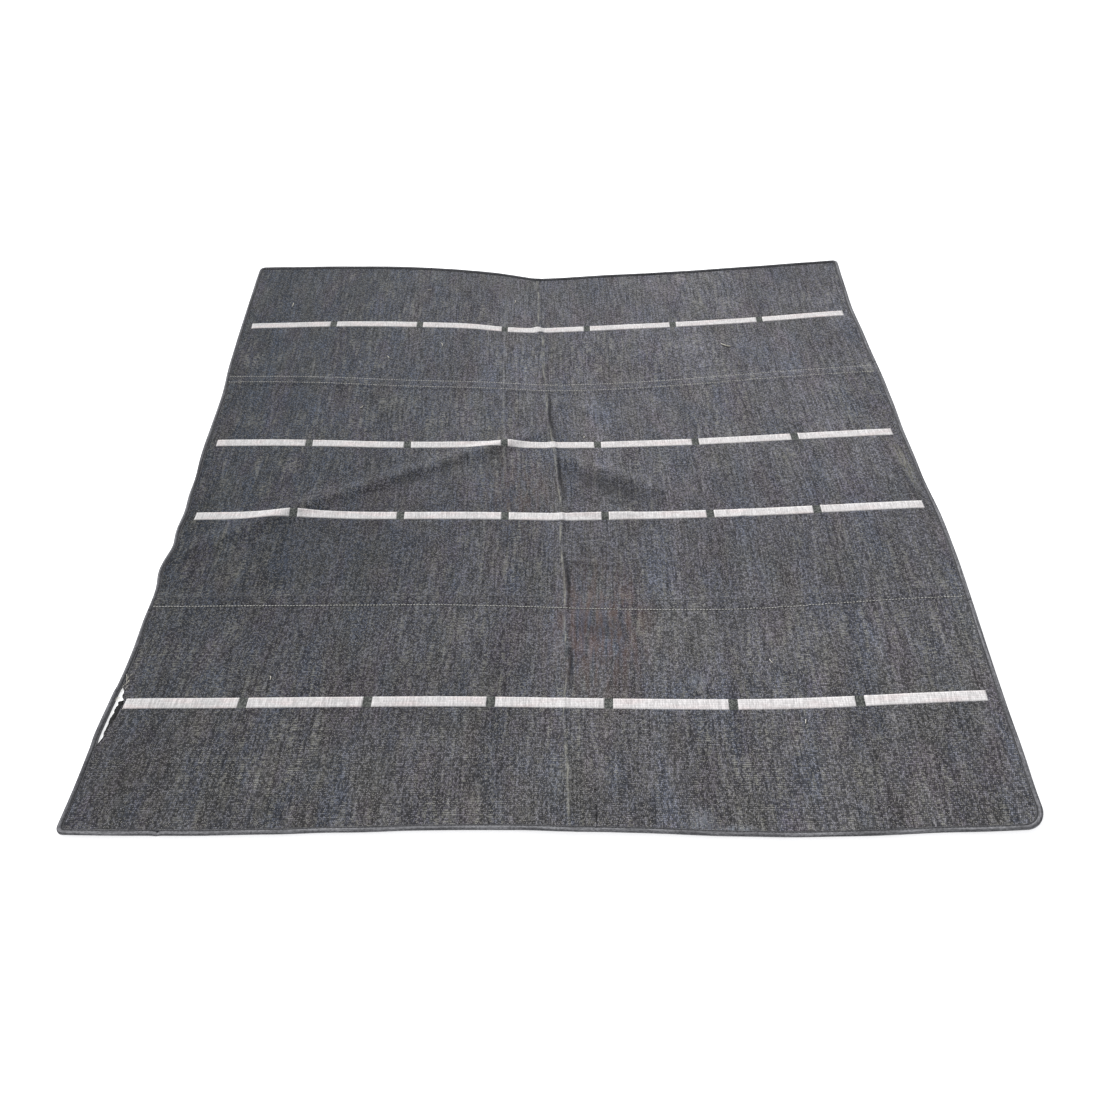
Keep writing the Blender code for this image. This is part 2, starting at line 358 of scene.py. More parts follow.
def flat_place(tree):
    """The place on the flat cloth, in metres, from the piece's own map."""
    return node(tree, "UVMap", uv_map="flat")


def stretched(tree, place, scale_u, scale_v, detail=2.0, shift=0.0):
    """Soft noise, scaled apart along u and v, with its values about 0.5."""
    moved = node(tree, "Mapping", {0: place, 1: (shift, shift, 0), 3: (scale_u, scale_v, 1)})
    return node(tree, "TexNoise", {"Vector": moved, "Scale": 1.0, "Detail": detail})


def ramp(tree, value, low, high, to_low=0.0, to_high=1.0):
    """Stretches the values between low and high, softly, and clips the rest."""
    made = node(tree, "MapRange", {0: value, 1: low, 2: high, 3: to_low, 4: to_high})
    made.interpolation_type = "SMOOTHSTEP"
    return made


def patches(tree, place, noise, *levels):
    """Soft noise, spread out between two levels."""
    return ramp(tree, stretched(tree, place, *noise), *levels)


def blend_colours(tree, share, first, second, how="MIX"):
    """Mixes two colours, or colour outputs."""
    made = node(tree, "Mix", {0: share, 6: first, 7: second}, data_type="RGBA", blend_type=how)
    return made.outputs[2]


def finish_material(tree, shader, body, raised, roughness=0.95, specular=0.2):
    """Gives the shader its colour and its relief, and how rough and how glossy it is."""
    gloss = {"Roughness": roughness, "Specular IOR Level": specular}
    feed(tree, shader, {"Base Color": body, "Normal": raised, **gloss})


def times(tree, *values):
    """The product of some values."""
    total = values[0]
    for value in values[1:]:
        total = node(tree, "Math", {0: total, 1: value}, operation="MULTIPLY")
    return total


def shaded(tree, body, *shares):
    """Multiplies a colour by the product of the shares."""
    return blend_colours(tree, 1.0, body, times(tree, *shares), "MULTIPLY")


def stain(tree, body, hex_value, *shares):
    """Covers a colour with another one, as far as the product of the shares says."""
    return blend_colours(tree, times(tree, *shares), body, colour(hex_value))


def spot(tree, place, at_u, at_v, reach_u, reach_v, turned=0.0):
    """1 at a place on the flat cloth, fading to 0 at its reach. The reaches can be turned, in degrees."""
    turn_back = (0, 0, math.radians(turned))
    inputs = {0: place, 1: (at_u, at_v, 0), 2: turn_back, 3: (reach_u, reach_v, 1)}
    moved = node(tree, "Mapping", inputs, vector_type="TEXTURE")
    ball = node(tree, "VectorMath", {0: moved}, operation="LENGTH")
    return ramp(tree, ball.outputs["Value"], 0.0, 1.0, 1.0, 0.0)


# %% [markdown]
# The ground cloth is wool, dyed charcoal in the fleece, plain woven with a heavy weft. To the eye it is a
# dark grey, bluer on the left and lighter on the right, streaked along the warp, with pale floats scattered
# in ladders and clusters. Wool has no shine, so it is rough all over, with a faint bloom of loose fibre at
# grazing angles, which is what sheen is for. Ash, spilt tea and wear are spots on the flat cloth, listed by
# place.

# %% Charcoal wool
FLOAT = 4.2 * MM
RIB = 4.0 * MM
LADDER = (8 * MM, 4.8 * MM)
ASH = [
    # u, v, reach along u, reach along v, how much of it hides the cloth
    (0.39, -0.995, 0.075, 0.035, 0.95),
    (0.325, -0.965, 0.040, 0.055, 0.28),
    (0.345, -0.640, 0.030, 0.035, 0.25),
]
WORN = [
    # u, v, reach along u, reach along v, how light it is beside the rest
    (-0.22, -0.66, 0.40, 0.20, 0.86),
    (0.10, -0.30, 0.17, 0.16, 0.84),
    (0.88, 0.93, 0.24, 0.16, 0.84),
    (-0.10, 0.90, 0.14, 0.14, 0.90),
    (0.12, 0.26, 0.16, 0.20, 1.13),
    (0.38, 0.93, 0.26, 0.14, 1.10),
    (0.86, 0.06, 0.16, 0.20, 1.10),
    (-0.60, -0.10, 0.26, 0.12, 1.12),
    (0.115, -0.495, 0.13, 0.060, 0.70),
]


def line_of_crease(tree, u, v):
    """The distance from the middle crease, which is the same line as crease_at gives."""
    straight_part = node(tree, "Math", {0: v, 1: 0.04, 2: -0.0125}, operation="MULTIPLY_ADD")
    waves = []
    for rate in (CREASE_WAVES, 7):
        angle = times(tree, v, rate)
        waves.append(node(tree, "Math", {0: angle}, operation="SINE"))
    wave = times(tree, *waves, -CREASE_WAVE)
    level = node(tree, "Math", {0: u, 1: straight_part}, operation="ADD")
    return node(tree, "Math", {0: level, 1: wave}, operation="ADD")


def line(tree, distance, at, reach):
    """1 where the distance is at a value, fading to 0 at its reach on both sides."""
    aside = node(tree, "Math", {0: distance, 1: at}, operation="SUBTRACT")
    away = node(tree, "Math", {0: aside}, operation="ABSOLUTE")
    return ramp(tree, away, 0.0, reach, 1.0, 0.0)


def charcoal_wool():
    made, tree, shader = new_material("charcoal_wool_plain_weave")
    place = flat_place(tree)
    split = node(tree, "SeparateXYZ", {0: place})
    u, v = split.outputs["X"], split.outputs["Y"]
    chance, _, round_top = threads(tree, place, FLOAT, RIB)
    fine, _, fine_top = threads(tree, place, FLOAT * 0.6, RIB * 0.55)
    rung, rung_rib, _ = threads(tree, place, *LADDER)

    # Darker and bluer at the left, lighter at the right, and less blue at the front
    across = ramp(tree, u, -1.1, 0.35)
    wool = blend_colours(tree, across, colour("#323944"), colour("#5b5b62"))
    near = ramp(tree, v, -0.95, -0.1, 1.0, 0.0)
    wool = blend_colours(tree, times(tree, near, 0.8), wool, colour("#4e4d50"))
    hues = ((5.0, "#3f4b5e", 0.34), (13.0, "#57474e", 0.26), (21.0, "#525142", 0.22))
    for shift, tint, share in hues:
        where = patches(tree, place, (13, 5, 3.0, shift), 0.46, 0.66, 0.0, share)
        wool = blend_colours(tree, where, wool, colour(tint))

    # Abrash: bands and streaks along the warp, where one batch of dye followed another, and painted shade
    # between the floats
    bands = patches(tree, place, (11, 0.9, 3.0), 0.3, 0.7, 0.82, 1.16)
    streaks = patches(tree, place, (240, 10, 2.0, 7.0), 0.3, 0.7, 0.62, 1.40)
    cloudy = patches(tree, place, (5, 4, 3.0, 3.0), 0.3, 0.7, 0.90, 1.08)
    each = ramp(tree, chance, 0.35, 1.0, 0.66, 1.85)
    # Painted shade: darker in the gaps between the rounded floats
    between = ramp(tree, round_top, 0.0, 0.75, 0.46, 1.16)
    body = shaded(tree, wool, bands, streaks, cloudy, each, between)

    # Pale fibres on every float, and paler rungs where they gather in ladders
    warm = blend_colours(tree, chance, colour("#c0bcb0"), colour("#b2b1b8"))
    speck = times(tree, ramp(tree, fine, 0.62, 0.95), ramp(tree, fine_top, 0.1, 0.8), 0.52)
    body = blend_colours(tree, speck, body, warm)
    ladders = patches(tree, place, (95, 11, 2.0, 1.0), 0.44, 0.68)
    where = patches(tree, place, (3, 3, 2.0, 4.0), 0.35, 0.65, 0.35, 1.0)
    rungs = times(tree, ramp(tree, rung, 0.15, 0.9), ramp(tree, rung_rib, 0.3, 0.9))
    body = stain(tree, body, "#a8a79d", rungs, ladders, where, 0.58)

    # Darker towards the left side, and in a belt across the middle
    left_side = ramp(tree, u, -1.2, 0.30, 0.74, 0.96)
    belt = ramp(tree, line(tree, v, -0.22, 0.42), 0.0, 1.0, 1.0, 0.88)
    body = shaded(tree, body, left_side, belt)

    # Old folds: a light line on the left, a dark one on the right, and painted highlight and shade along the
    # middle crease
    broken = patches(tree, place, (260, 30, 2.0, 2.0), 0.35, 0.6)
    body = stain(tree, body, "#9a9c9c", spot(tree, place, -0.139, 0.55, 0.006, 1.1), broken, 0.30)
    body = stain(tree, body, "#26272a", spot(tree, place, 0.708, 0.0, 0.005, 1.0), broken, 0.5)
    beside = line_of_crease(tree, u, v)
    along = patches(tree, place, (0.5, 11, 2.0, 4.0), 0.38, 0.6, 0.15, 1.0)
    # Painted highlight: a pale line just left of the crease's crest, on the side that faces the light
    body = stain(tree, body, "#a5a498", line(tree, beside, -0.003, 0.006), broken, along, 0.55)
    # Painted shade: a dark line just right of the crease, where it drops away from the light
    crease_shade_line = line(tree, beside, 0.0075, 0.0095)
    for at, reach in ((0.26, 0.20), (0.0, 0.13), (-0.36, 0.12), (-0.60, 0.08)):
        body = stain(tree, body, "#1d1d20", crease_shade_line, line(tree, v, at, reach), 0.85)

    # Painted shade at the foot of two ridges, on the side towards the front, which faces away from the light
    body = stain(tree, body, "#222226", spot(tree, place, -0.28, 0.035, 0.26, 0.050, 25), 0.14)
    body = stain(tree, body, "#222226", spot(tree, place, 0.16, -0.042, 0.24, 0.055, -27), 0.50)

    # Spilt tea and ash: brown and blue streaks by the crease, whitish patches at the front right
    breaks = patches(tree, place, (70, 12, 3.0, 5.0), 0.38, 0.62)
    body = stain(tree, body, "#74584a", spot(tree, place, 0.12, -0.49, 0.18, 0.28), breaks, 0.40)
    other = patches(tree, place, (85, 10, 2.0, 9.0), 0.5, 0.66)
    body = stain(tree, body, "#4e5f78", spot(tree, place, 0.09, -0.50, 0.17, 0.22), other, 0.26)
    body = stain(tree, body, "#74584a", spot(tree, place, -0.10, -0.06, 0.16, 0.22), breaks, 0.20)
    for at_u, at_v, reach_u, reach_v, share in ASH:
        body = stain(tree, body, "#aab2bd", spot(tree, place, at_u, at_v, reach_u, reach_v), broken, share)
    body = stain(tree, body, "#a3a18f", spot(tree, place, 0.963, 0.00, 0.022, 0.13, 6), broken, 0.45)

    # Wear that is nowhere regular: some places are dirtier, and some more faded
    for at_u, at_v, reach_u, reach_v, share in WORN:
        worn = ramp(tree, spot(tree, place, at_u, at_v, reach_u, reach_v), 0.0, 1.0, 1.0, share)
        body = shaded(tree, body, worn)

    # Loose fibres on top of the rounded floats
    fuzz = stretched(tree, place, 900, 900, 3.0)
    high = node(tree, "Math", {0: fuzz, 1: 0.4, 2: round_top}, operation="MULTIPLY_ADD")
    raised = node(tree, "Bump", {"Strength": 0.6, "Distance": 0.7 * MM, "Height": high})
    finish_material(tree, shader, body, raised)
    feed(tree, shader, {"Sheen Weight": 0.06, "Sheen Roughness": 0.6})
    return made


charcoal = charcoal_wool()
print(charcoal.name, "has", len(charcoal.node_tree.nodes), "nodes")

# %% [markdown]
# Between the dashes the dark weft floats on top of the pale one, which makes small squares of a denser,
# greener black, with a light hatch where single pale threads show. They are part of the ground cloth, so
# they are a second material on its faces and not pieces of their own.

# %% The dark squares' weave
HATCH = 3.2 * MM


def dark_squares():
    made, tree, shader = new_material("charcoal_wool_dense_weave")
    place = flat_place(tree)
    chance, _, round_top = threads(tree, place, HATCH, HATCH * 0.8)
    dark = blend_colours(tree, chance, colour("#3a3c3b"), colour("#5d605c"))
    shows = times(tree, ramp(tree, chance, 0.35, 0.9), ramp(tree, round_top, 0.2, 0.9), 0.55)
    body = blend_colours(tree, shows, dark, colour("#9b9d98"))
    raised = node(tree, "Bump", {"Strength": 0.6, "Distance": 0.6 * MM, "Height": round_top})
    finish_material(tree, shader, body, raised)
    return made


# %% [markdown]
# The dashes are undyed wool, beaten close in the same weave. To the eye they are a warm white, faintly pink
# in places, with a fine grid of thread shadows and a little grime.

# %% Undyed wool for the dashes


def undyed_wool():
    made, tree, shader = new_material("undyed_wool_close_weave")
    place = flat_place(tree)
    split = node(tree, "SeparateXYZ", {0: place})
    chance, _, round_top = threads(tree, place, 3.6 * MM, 4.3 * MM)
    # Lighter towards the right
    lighter_to_right = ramp(tree, split.outputs["X"], -1.0, 0.4)
    wool = blend_colours(tree, lighter_to_right, colour("#d6d4d3"), colour("#e7e4e3"))
    rosy = patches(tree, place, (14, 60, 2.0, 2.0), 0.45, 0.7, 0.0, 0.5)
    wool = blend_colours(tree, rosy, wool, colour("#e3d5d3"))
    warp = patches(tree, place, (450, 25, 2.0, 4.0), 0.35, 0.65, 0.80, 1.07)
    shade = ramp(tree, round_top, 0.0, 0.7, 0.86, 1.0)
    each = ramp(tree, chance, 0.0, 1.0, 0.88, 1.08)
    grime = patches(tree, place, (12, 40, 4.0, 6.0), 0.5, 0.8, 1.0, 0.86)
    body = shaded(tree, wool, warp, shade, each, grime)
    raised = node(tree, "Bump", {"Strength": 0.6, "Distance": 0.5 * MM, "Height": round_top})
    finish_material(tree, shader, body, raised)
    feed(tree, shader, {"Sheen Weight": 0.05})
    return made


squares = dark_squares()
undyed = undyed_wool()
print(squares.name, undyed.name)

# %% [markdown]
# The tape is a woven cotton one, dyed dark grey, with fine ribs across it. It has faded and picked up dust
# along the outside of the roll, where feet meet it.

# %% Cotton tape and threads


def cotton_tape():
    made, tree, shader = new_material("cotton_tape_woven")
    place = flat_place(tree)
    around = node(tree, "SeparateXYZ", {0: place}).outputs["X"]
    chance, _, round_top = threads(tree, place, 2.5 * MM, 4.0 * MM)
    worn = patches(tree, place, (300, 9, 3.0), 0.35, 0.7)
    tape = blend_colours(tree, worn, colour("#58585b"), colour("#808083"))
    # Painted shade in the groove beside the roll, where the stitches lie
    groove_shade = ramp(tree, around, 22.5 * MM, 25.5 * MM, 0.0, 0.5)
    tape = blend_colours(tree, groove_shade, tape, colour("#1f1f21"))
    each = ramp(tree, chance, 0.0, 1.0, 0.70, 1.25)
    body = shaded(tree, tape, each)
    raised = node(tree, "Bump", {"Strength": 0.4, "Distance": 0.3 * MM, "Height": round_top})
    finish_material(tree, shader, body, raised, roughness=0.85, specular=0.3)
    return made


def spun_thread(name, light, dark):
    """Sewing thread or loose yarn: two plies twisted together, so it is striped across."""
    made, tree, shader = new_material(name)
    place = node(tree, "TexCoord").outputs["Object"]
    ply = node(tree, "TexNoise", {"Vector": place, "Scale": 700.0, "Detail": 2.0})
    body = blend_colours(tree, ramp(tree, ply, 0.35, 0.65), colour(dark), colour(light))
    raised = node(tree, "Bump", {"Strength": 0.5, "Distance": 0.2 * MM, "Height": ply})
    finish_material(tree, shader, body, raised, roughness=0.8, specular=0.3)
    return made


tape = cotton_tape()
pale_thread = spun_thread("cotton_thread_pale", "#d2d0c9", "#93938e")
soiled_thread = spun_thread("cotton_thread_soiled", "#7a7a7b", "#555557")
dark_thread = spun_thread("cotton_thread_dark", "#2c2c2e", "#1a1a1b")
# A near-black for the painted shadow under the torn edge
shadow_black = spun_thread("black_painted_shadow", "#19191a", "#0c0c0d")
lint_yarn = spun_thread("wool_yarn_loose", "#f0ece0", "#bdb9ab")
print(tape.name, pale_thread.name, dark_thread.name, lint_yarn.name)

# %% [markdown]
# A sheet starts as a grid. Its lines are not evenly spaced: there is one at each end of each dash, so that
# the windows for the dashes can be cut along them, and more beside the middle crease, where the cloth bends
# tightly. Operators give an even grid, and moving its columns to those places is a transform.

# %% Grids with lines where they are wanted


def stops(low, high, fixed, step):
    """Places from low to high, no further apart than step, with one at each fixed place."""
    ends = sorted({low, high, *(place for place in fixed if low < place < high)})
    places = [low]
    for a, b in zip(ends, ends[1:]):
        count = math.ceil((b - a) / step - 1e-6)
        places += [a + (b - a) * i / count for i in range(1, count + 1)]
    return places


def grid(us, vs):
    """A flat grid with its lines at these places."""
    bm = bmesh.new()
    bmesh.ops.create_grid(bm, x_segments=len(us) - 1, y_segments=len(vs) - 1, size=1)
    for vert in bm.verts:
        column = round((vert.co.x + 1) / 2 * (len(us) - 1))
        row = round((vert.co.y + 1) / 2 * (len(vs) - 1))
        vert.co = (us[column], vs[row], 0)
    return bm


def lay(bm, height):
    """Keeps each point's flat place in the map that the weave follows, and moves it to where it lies."""
    layer = bm.loops.layers.uv.new("flat")
    for face in bm.faces:
        for loop in face.loops:
            loop[layer].uv = loop.vert.co.xy
    for vert in bm.verts:
        u, v = vert.co.xy
        vert.co = lie(u, v, height(vert))


def piece(name, bm, materials):
    """Makes a smooth-shaded piece from a bmesh that is already in place."""
    mesh = bpy.data.meshes.new(name)
    bm.to_mesh(mesh)
    bm.free()
    mesh.shade_smooth()
    for material in materials:
        mesh.materials.append(material)
    made = bpy.data.objects.new(name, mesh)
    bpy.context.collection.objects.link(made)
    return made


def thicken(made, thickness, soft_edge=0.0):
    """Gives a sheet its thickness, downwards from the surface that it was made as."""
    solid = made.modifiers.new("Thickness", "SOLIDIFY")
    solid.thickness = thickness
    solid.offset = -1
    if soft_edge:
        edge = made.modifiers.new("Soft edge", "BEVEL")
        edge.width = soft_edge
        edge.segments = 2
        edge.limit_method = "ANGLE"
        edge.angle_limit = math.radians(60)
        edge.harden_normals = True
    return made


print("a grid of", len(grid([0, 1, 4], [0, 2]).verts), "points")

# %% [markdown]
# The three lengths of cloth. Each is a grid in flat places, with the dash windows cut out, which is then
# moved to where it lies. Cloth keeps its flat place in its map, so the weave bends with it. The front and
# back cloths run on under the seams' laps, and the middle cloth steps up over them, by a little less than
# one thickness, because a lap is pressed. The corners are drawn in to rounds, and along the torn stretch the
# cloth's edge has frayed back.

# %% What shapes a sheet's outline
GRID_STEP = 8 * MM
CORNERS = [
    # which side, which edge, radius of the cloth inside the tape
    (-1, -1, 8 * MM),
    (1, -1, 38 * MM),
    (1, 1, 8 * MM),
    (-1, 1, 8 * MM),
]
TORN = (-0.806, -0.652)  # the stretch of the left edge where the tape has come away
TORN_STEP = 3.5 * MM
TORN_DEPTH = (11 * MM, 17 * MM)  # at the ends, and at the deepest
BRIDGE = -0.690  # where a few threads still cross the gap
TEAR_REACH = 22 * MM  # how far in from the edge the cloth is drawn back with it
PRESSED_LAP = 2.0 * MM  # how much thicker a lap is than one cloth
BESIDE_CREASE = [0.0025, 0.005, 0.0075, 0.010, 0.013, 0.017, 0.022, 0.030, 0.040]


def torn_share(v):
    """1 along the torn stretch, 0 beyond it, with short ends."""
    from_start = smooth((v - TORN[0]) / 0.03)
    from_end = smooth((TORN[1] - v) / 0.02)
    return from_start * from_end


def round_corner(u, v):
    """Draws a place in a corner in towards the corner's centre, so that the outline is round."""
    for side, end, radius in CORNERS:
        centre_u = (RIGHT if side > 0 else LEFT) - side * radius
        centre_v = (BACK if end > 0 else FRONT) - end * radius
        a = (u - centre_u) * side
        b = (v - centre_v) * end
        if a > 0 and b > 0:
            share = max(a, b) / math.hypot(a, b)
            return centre_u + a * share * side, centre_v + b * share * end
    return u, v


def follow_crease(u, v):
    """Moves the columns beside the middle crease so that they run along it."""
    share = 1 - smooth((abs(u) - 0.045) / 0.07)
    return u + crease_at(v) * share


def torn_depth(v):
    """How far the torn cloth is drawn back from the tape: most where the black strip of painted shadow
    shows.
    """
    lower = TORN_DEPTH[0] + (TORN_DEPTH[1] - TORN_DEPTH[0]) * smooth((v + 0.79) / 0.08)
    above_bridge = smooth((v - BRIDGE) / 0.008)
    return lower + (TORN_DEPTH[0] - lower) * above_bridge


def fray_back(u, v):
    """Draws the cloth back from the tape along the torn stretch, raggedly."""
    inwards = u - LEFT
    if inwards > TEAR_REACH:
        return u
    ragged = 1 + 0.25 * noise.noise(Vector((v * 45, 1.7, 0))) + 0.15 * noise.noise(Vector((v * 200, 3.1, 0)))
    return u + torn_depth(v) * ragged * torn_share(v) * (1 - inwards / TEAR_REACH)


def lap_rise(v):
    """The middle cloth's step up over the two seams' laps, with its own edges pressed down."""
    step = 14 * MM
    inside = max(1 - smooth((v - FRONT_LAP[1]) / step), 1 - smooth((BACK_LAP[0] - v) / step))
    outside = smooth((v - FRONT_LAP[0] + 2 * MM) / step) * smooth((BACK_LAP[1] + 2 * MM - v) / step)
    return PRESSED_LAP * inside * (0.12 + 0.88 * outside)


# %% Cut and lay one sheet


WINDOWS = [box for row in row_boxes.values() for box in row]
WHOLE_ROWS = [(row[0][0], row[-1][1]) for row in row_boxes.values()]


def inside(face, boxes):
    """Whether the middle of a face is inside one of some boxes, seen from above."""
    at = face.calc_center_median()
    return any(low.x < at.x < high.x and low.y < at.y < high.y for low, high in boxes)


def sheet(name, low_v, high_v, rise):
    """One length of cloth, laid out."""
    dash_ends = [end for low, high in row_boxes["front"] for end in (low.x, high.x)]
    beside = [side * place for place in BESIDE_CREASE for side in (-1, 1)]
    sides = [side for row in row_boxes.values() for side in (row[0][0].y, row[0][1].y)]
    lap_steps = [step * MM for step in (0, 4, 8, 14)]
    lap_ends = [FRONT_LAP[1] + step for step in lap_steps] + [BACK_LAP[0] - step for step in lap_steps]
    lap_ends += [FRONT_LAP[0] + 3 * MM, FRONT_LAP[0] + 8 * MM, BACK_LAP[1] - 8 * MM, BACK_LAP[1] - 3 * MM]
    torn_rows = [TORN[0] + TORN_STEP * i for i in range(round((TORN[1] - TORN[0]) / TORN_STEP))]
    bm = grid(
        stops(LEFT, RIGHT, [0, *beside, *dash_ends], GRID_STEP),
        stops(low_v, high_v, [*sides, *torn_rows, *(lap_ends if rise else [])], GRID_STEP),
    )
    bmesh.ops.delete(bm, geom=[face for face in bm.faces if inside(face, WINDOWS)], context="FACES")
    for face in bm.faces:
        face.material_index = 1 if inside(face, WHOLE_ROWS) else 0
    for vert in bm.verts:
        u, v = vert.co.xy
        u = fray_back(follow_crease(u, v), v)
        vert.co = (*round_corner(u, v), 0)
    lay(bm, lambda vert: CLOTH + (lap_rise(vert.co.y) if rise else 0.0))
    print(name, len(bm.faces), "faces")
    return thicken(piece(name, bm, [charcoal, squares]), CLOTH, 0.5 * MM)


front_sheet = sheet("front_length_of_cloth", FRONT, FRONT_LAP[1], False)
middle_sheet = sheet("middle_length_of_cloth", FRONT_LAP[0], BACK_LAP[1], True)
back_sheet = sheet("back_length_of_cloth", BACK_LAP[0], BACK, False)

# %% [markdown]
# The folds. A sheet that crosses one would turn softly over a short stretch, about as long as the half
# circle that it makes when it is folded right over, between the seam's lap and the first dashes, so that
# each seam stays flat on the middle, as doubled cloth does. Here the pieces that cross a fold are only baked
# in place, unbent.


def bends_at_front(made):
    """Bakes the piece's transform into its mesh; it is not bent at the front fold."""
    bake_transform(made)


def bends_at_back(made):
    """Bakes the piece's transform into its mesh; it is not bent at the back fold."""
    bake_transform(made)


bends_at_front(front_sheet)
bends_at_back(back_sheet)
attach(middle_sheet, "middle")
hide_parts("front_cloth", "front_seam_strip")
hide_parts("back_cloth", "back_seam_strip")
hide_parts("middle_cloth")

# %% [markdown]
# Each dash is a small sheet of its own that fills its window and reaches a little past it, into the dark
# cloth. Its surface stands a hair above the ground, because undyed wool is loftier, and its edges are a
# little ragged, because each weft thread turns back in its own place.

# %% Weave the dashes
DASH_STEP = 3.2 * MM
TUCK = 0.2 * MM  # how far a dash reaches past its window
PROUD = 0.45 * MM  # how far it stands above the ground
SUNK = -0.2 * MM  # and how far its edge dips below it
RAGGED = 0.5 * MM


def dash(name, low, high, body):
    """One dash, laid with the cloth."""
    us = stops(low.x - TUCK, high.x + TUCK, [], DASH_STEP)
    vs = stops(low.y - TUCK, high.y + TUCK, [], DASH_STEP)
    bm = grid(us, vs)
    for vert in bm.verts:
        u, v = vert.co.xy
        if vert.is_boundary:
            u += RAGGED * noise.noise(Vector((v * 330, low.x, 0)))
            v += RAGGED * noise.noise(Vector((u * 330, low.y, 7)))
        vert.co = (u, v, 0)
    lay(bm, lambda vert: CLOTH + (SUNK if vert.is_boundary else PROUD))
    made = thicken(piece(name, bm, [undyed]), CLOTH)
    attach(made, body)
    return made


for row, body in ROWS.items():
    for k, (low, high) in enumerate(row_boxes[row]):
        made = dash(f"{row}_woven_dash_{k + 1}", low, high, body)
        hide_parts(f"{row}_dash_{k + 1}")
print(len(ROWS) * DASHES, "dashes")

# %% [markdown]
# A machine stitch shows as a short straight thread between two needle holes. There are over a thousand in
# the seams alone, so each is a ball of a few faces, squashed long. Its middle stands proud of the cloth, and
# its ends dip in where the needle went.

# %% Stitches
STITCH_PITCH = 7.5 * MM
STITCH = (2.9 * MM, 1.3 * MM, 0.7 * MM)  # half its length, width and height
EDGE_STITCH = (2.3 * MM, 0.6 * MM, 0.5 * MM)
SEAM_END = 4 * MM  # where a seam's stitches start, in from the side of the cloth
STITCH_RISE = 0.2 * MM


def make_ball():
    """A ball of a few faces, its poles along X, that every stitch is a copy of."""
    bm = bmesh.new()
    bmesh.ops.create_uvsphere(bm, u_segments=6, v_segments=4, radius=1)
    bmesh.ops.rotate(bm, verts=bm.verts, matrix=Matrix.Rotation(math.pi / 2, 3, "Y"))
    mesh = bpy.data.meshes.new("stitch_ball")
    bm.to_mesh(mesh)
    bm.free()
    return mesh


BALL = make_ball()


def stitch(bm, place, heading, size):
    """Adds one stitch at a place, lying along a heading."""
    along = heading.normalized()
    turned = along.to_track_quat("X", "Z").to_matrix()
    first = len(bm.verts)
    bm.from_mesh(BALL)
    bm.verts.ensure_lookup_table()
    for vert in bm.verts[first:]:
        vert.co = place + turned @ (vert.co * Vector(size))


def seam_row(name, v, thread):
    """A straight row of stitches across the whole width."""
    bm = bmesh.new()
    count = int((RIGHT - LEFT - 2 * SEAM_END) / STITCH_PITCH)
    for i in range(count + 1):
        u = LEFT + SEAM_END + i * STITCH_PITCH
        wander = 0.5 * MM * noise.noise(Vector((u * 12, v, 9)))
        top = CLOTH + lap_rise(v + wander) + STITCH_RISE
        place = lie(u, v + wander, top)
        ahead = lie(u + 2 * MM, v + wander, top)
        stitch(bm, place, ahead - place, STITCH)
    print(name, count + 1, "stitches")
    return piece(name, bm, [thread])


for seam in ("front_seam", "back_seam"):
    for row in ("near", "far"):
        low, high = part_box(f"{seam}_stitching_{row}")
        thread = soiled_thread if (seam, row) == ("front_seam", "far") else pale_thread
        made = seam_row(f"{seam}_{row}_stitches", (low.y + high.y) / 2, thread)
        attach(made, "middle")
        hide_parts(f"{seam}_stitching_{row}")

# %% [markdown]
# The binding is a tape wrapped round the cloth's edge and rolled, sewn down in a groove beside the cloth.
# Its section is a list of a few places, out from the cloth's edge and up. A grid as long as the edge and as
# wide as the way round the section is bent into a tube along the edge, and its two sides are welded. Where
# the tape has come away, it bows out from the cloth.

# %% The tape's section and its path
SECTION = [
    # out from the cloth's edge, up from its underside, in millimetres, anticlockwise
    (-2.6, 3.1), (-2.6, 0.0), (1.0, -0.6), (4.0, -1.0), (7.0, -0.7), (9.1, 0.9), (9.95, 3.2), (9.5, 5.0),
    (8.2, 6.2), (6.2, 6.8), (4.2, 6.6), (2.4, 5.6), (1.1, 4.2), (0.2, 3.2), (-0.7, 3.3), (-1.7, 3.7),
    (-2.4, 3.6),
]
PATH_STEP = 7 * MM
GROOVE = (0.3 * MM, 3.5 * MM)  # where the stitches lie, out from the cloth's edge and up
BOW_OUT = 2 * MM
NOTCH = -0.800  # where the front tape has a nick in it
NOTCH_DEPTH = 0.85  # of the tape's height
NOTCH_REACH = 6 * MM


def edge_path(start, corners, end):
    """Places along the cloth's edge with their outward directions, anticlockwise from start to end."""
    path = []
    here = Vector(start)
    for side, way, radius, first_angle in corners:
        edge_u = RIGHT if side > 0 else LEFT
        edge_v = BACK if way > 0 else FRONT
        centre = Vector((edge_u - side * radius, edge_v - way * radius))
        out = Vector((math.cos(first_angle), math.sin(first_angle)))
        path += straight(here, centre + out * radius, out)
        steps = max(6, round(radius * 1.57 / (PATH_STEP / 2)))
        for i in range(steps + 1):
            angle = first_angle + math.pi / 2 * i / steps
            out = Vector((math.cos(angle), math.sin(angle)))
            path.append((centre + out * radius, out))
        here = path[-1][0]
    return path + straight(here, Vector(end), path[-1][1])


def straight(start, end, out):
    """Evenly spaced places from start to end, all with the same outward direction."""
    count = max(1, round((end - start).length / PATH_STEP))
    return [(start.lerp(end, i / count), out) for i in range(count + 1)]


def without_doubles(path):
    """Drops places that repeat the one before."""
    kept = path[:1]
    for place, out in path[1:]:
        if (place - kept[-1][0]).length > 0.5 * MM:
            kept.append((place, out))
    return kept


